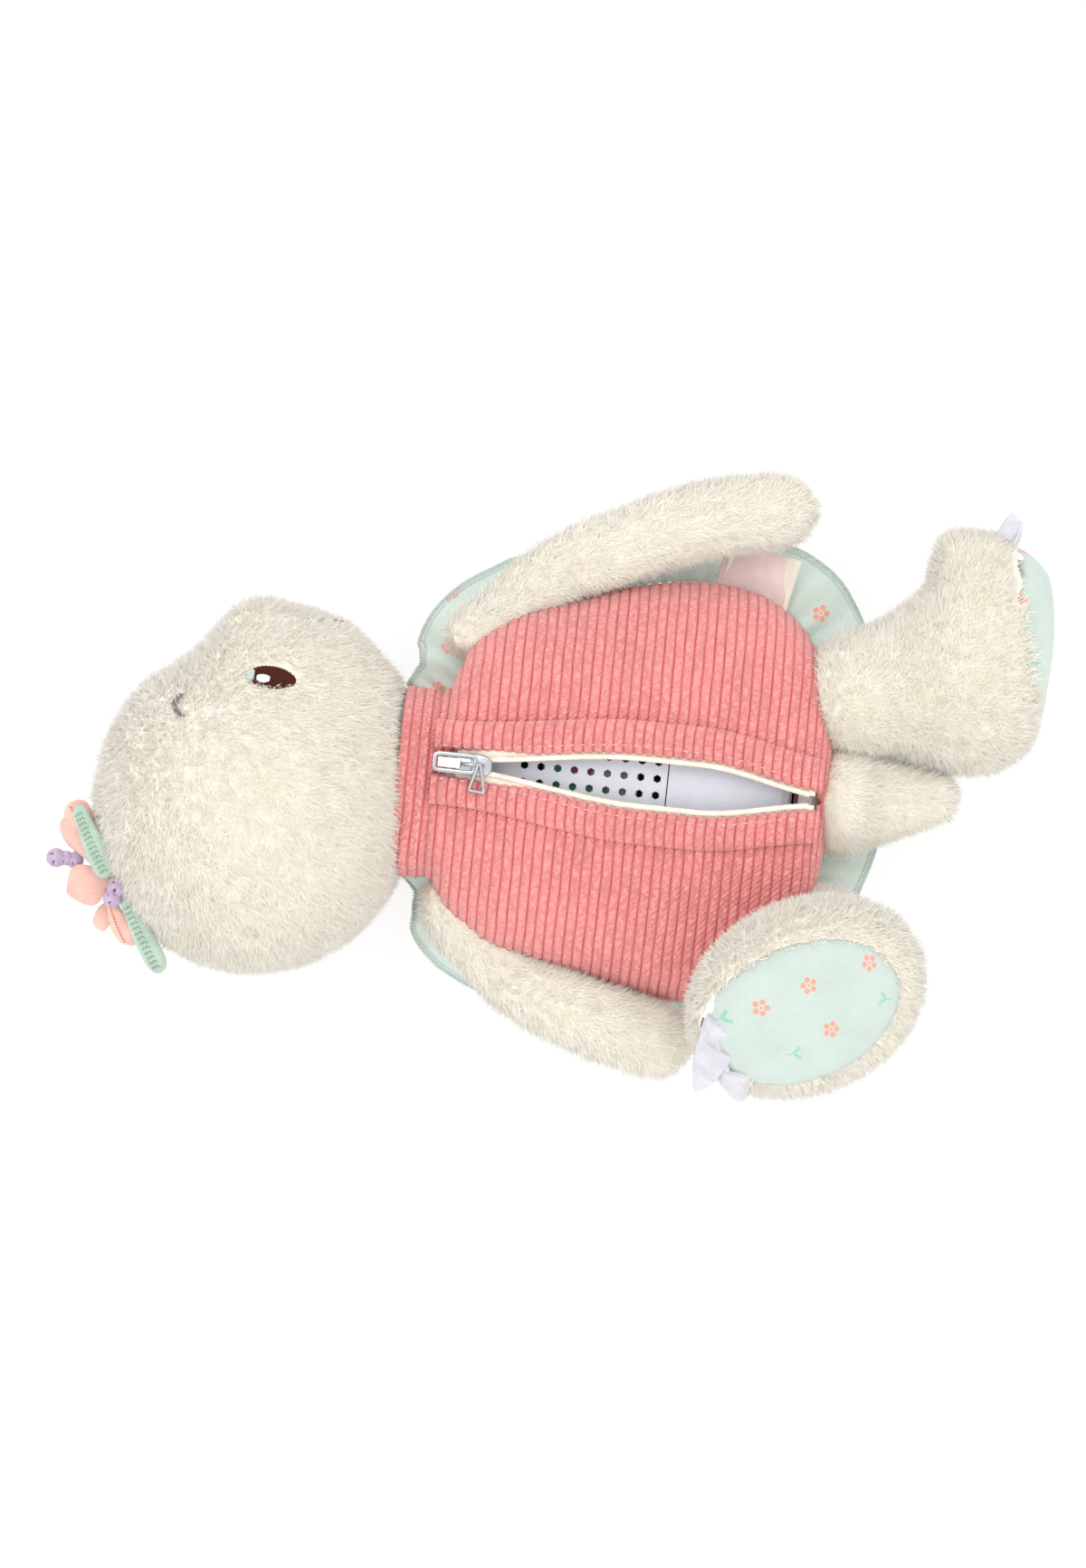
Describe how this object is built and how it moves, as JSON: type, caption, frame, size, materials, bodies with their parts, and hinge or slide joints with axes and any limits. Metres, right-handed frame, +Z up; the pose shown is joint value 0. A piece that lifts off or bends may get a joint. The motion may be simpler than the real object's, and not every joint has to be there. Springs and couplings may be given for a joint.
{
  "type": "plush night light",
  "caption": "Stuffed turtle lying on its shell, with a corduroy belly zip over a pocket that holds a battery night light and sound unit.",
  "frame": {"origin": "middle of the flat on which the shell rests, straight under the middle of the light unit", "axes": "+X from the head to the tail along the zip, +Y to the toy's left side, +Z up out of the belly"},
  "size_m": [0.2673, 0.1733, 0.1066],
  "materials": {
    "cream_plush": "short curly plush pile, matte",
    "corduroy": "coral corduroy, 2.75 mm ribs, matte",
    "shell_jersey": null,
    "sole_jersey": null,
    "pocket_lining": "plain woven lining, matte",
    "wadding": "polyester fibre filling",
    "zip_tape": "cream woven tape with a nylon coil",
    "zip_metal": "bright nickel plate, fine scratches",
    "eye_thread": "satin-stitch embroidery, brown with a white glint",
    "grey_thread": "embroidery thread",
    "flower_felt": "peach felt with cut edges",
    "bud_chenille": "lilac chenille yarn",
    "leaf_felt": "sage green felt with a stitched vein",
    "claw_felt": "white felt",
    "label_satin": "pale pink satin label, bare",
    "unit_plastic": "white satin moulded plastic",
    "tray_plastic": "white moulded plastic",
    "screw_steel": "zinc plated",
    "battery_wrap": "plain printed sleeve",
    "contact_metal": "nickel plated spring steel",
    "board_green": "green solder mask",
    "led_clear": "clear epoxy",
    "speaker_black": "black card and moulding",
    "button_plastic": "soft-touch peach",
    "lens_milk": "milky diffuser"
  },
  "bodies": {
    "trunk": {"shell_cover": "shell_jersey", "belly_panel_left": "corduroy", "belly_panel_right": "corduroy", "unit_pocket": "pocket_lining", "torso_pad": "wadding", "collar": "corduroy", "neck_wadding": "wadding", "shell_ruffle": "shell_jersey", "zip_bottom_stop": "zip_metal", "care_label": "label_satin", "care_label_back": "label_satin", "unit_front_cover": "unit_plastic", "unit_rear_cover": "unit_plastic", "housing_screw_1": "screw_steel", "housing_screw_2": "screw_steel", "housing_screw_3": "screw_steel", "housing_screw_4": "screw_steel", "battery_door": "unit_plastic", "door_screw": "screw_steel", "battery_tray": "tray_plastic", "battery_1": "battery_wrap", "battery_2": "battery_wrap", "battery_3": "battery_wrap", "battery_contact_left": "contact_metal", "battery_contact_right": "contact_metal", "circuit_board": "board_green", "led_1": "led_clear", "led_2": "led_clear", "speaker": "speaker_black", "speaker_magnet": "screw_steel", "button_switch": "speaker_black", "diffuser_lens": "lens_milk"},
    "head": {"head": "cream_plush", "eye_left": "eye_thread", "eye_right": "eye_thread", "brow_left": "grey_thread", "brow_right": "grey_thread", "mouth": "grey_thread", "flower_1": "flower_felt", "flower_2": "flower_felt", "bud_1": "bud_chenille", "bud_2": "bud_chenille", "leaf_1": "leaf_felt", "leaf_2": "leaf_felt"},
    "arm_left": {"arm_left": "cream_plush"},
    "arm_right": {"arm_right": "cream_plush"},
    "leg_left": {"leg_left": "cream_plush", "sole_left": "sole_jersey", "claws_left": "claw_felt"},
    "leg_right": {"leg_right": "cream_plush", "sole_right": "sole_jersey", "claws_right": "claw_felt"},
    "tail": {"tail": "cream_plush"},
    "lip_left": {"zip_welt_left": "corduroy", "zip_tape_left": "zip_tape"},
    "lip_right": {"zip_welt_right": "corduroy", "zip_tape_right": "zip_tape"},
    "zip_slider": {"zip_slider": "zip_metal"},
    "zip_pull": {"zip_pull": "zip_metal"},
    "power_button": {"power_button": "button_plastic"}
  },
  "joints": [
    {"name": "head_turn", "type": "hinge", "parent": "trunk", "child": "head", "pos_m": [-0.06285, -0.012, 0.046], "axis": [1, 0, 0], "range_deg": [-25, 25]},
    {"name": "arm_left_swing", "type": "hinge", "parent": "trunk", "child": "arm_left", "pos_m": [-0.042, 0.0405, 0.051], "axis": [0, 0, 1], "range_deg": [0, 60]},
    {"name": "arm_right_swing", "type": "hinge", "parent": "trunk", "child": "arm_right", "pos_m": [-0.041, -0.0465, 0.051], "axis": [0, 0, 1], "range_deg": [-60, 0]},
    {"name": "leg_left_lift", "type": "hinge", "parent": "trunk", "child": "leg_left", "pos_m": [0.061, 0.0305, 0.05], "axis": [0, -1, 0], "range_deg": [0, 60]},
    {"name": "leg_right_lift", "type": "hinge", "parent": "trunk", "child": "leg_right", "pos_m": [0.054, -0.0435, 0.05], "axis": [0, -1, 0], "range_deg": [-70, 0]},
    {"name": "tail_lift", "type": "hinge", "parent": "trunk", "child": "tail", "pos_m": [0.059, 0.0015, 0.048], "axis": [0, -1, 0], "range_deg": [-10, 45]},
    {"name": "zip_slide", "type": "slide", "parent": "trunk", "child": "zip_slider", "axis": [1, 0, 0], "range_m": [0, 0.084]},
    {"name": "lip_left_close", "type": "slide", "parent": "trunk", "child": "lip_left", "axis": [0, -1, 0], "range_m": [0, 0.0053], "deforming": ["zip_welt_left", "zip_tape_left"]},
    {"name": "lip_right_close", "type": "slide", "parent": "trunk", "child": "lip_right", "axis": [0, 1, 0], "range_m": [0, 0.0053], "deforming": ["zip_welt_right", "zip_tape_right"]},
    {"name": "pull_flip", "type": "hinge", "parent": "zip_slider", "child": "zip_pull", "pos_m": [-0.0445, 0, 0.06965], "axis": [0, 1, 0], "range_deg": [0, 150]},
    {"name": "power_button_press", "type": "slide", "parent": "trunk", "child": "power_button", "axis": [0, 0, -1], "range_m": [0, 0.0012], "stiffness_N_per_m": 600}
  ],
  "couplings": [
    {"joint": "lip_left_close", "follows": "zip_slide", "ratio": 0.063},
    {"joint": "lip_right_close", "follows": "zip_slide", "ratio": 0.063}
  ]
}
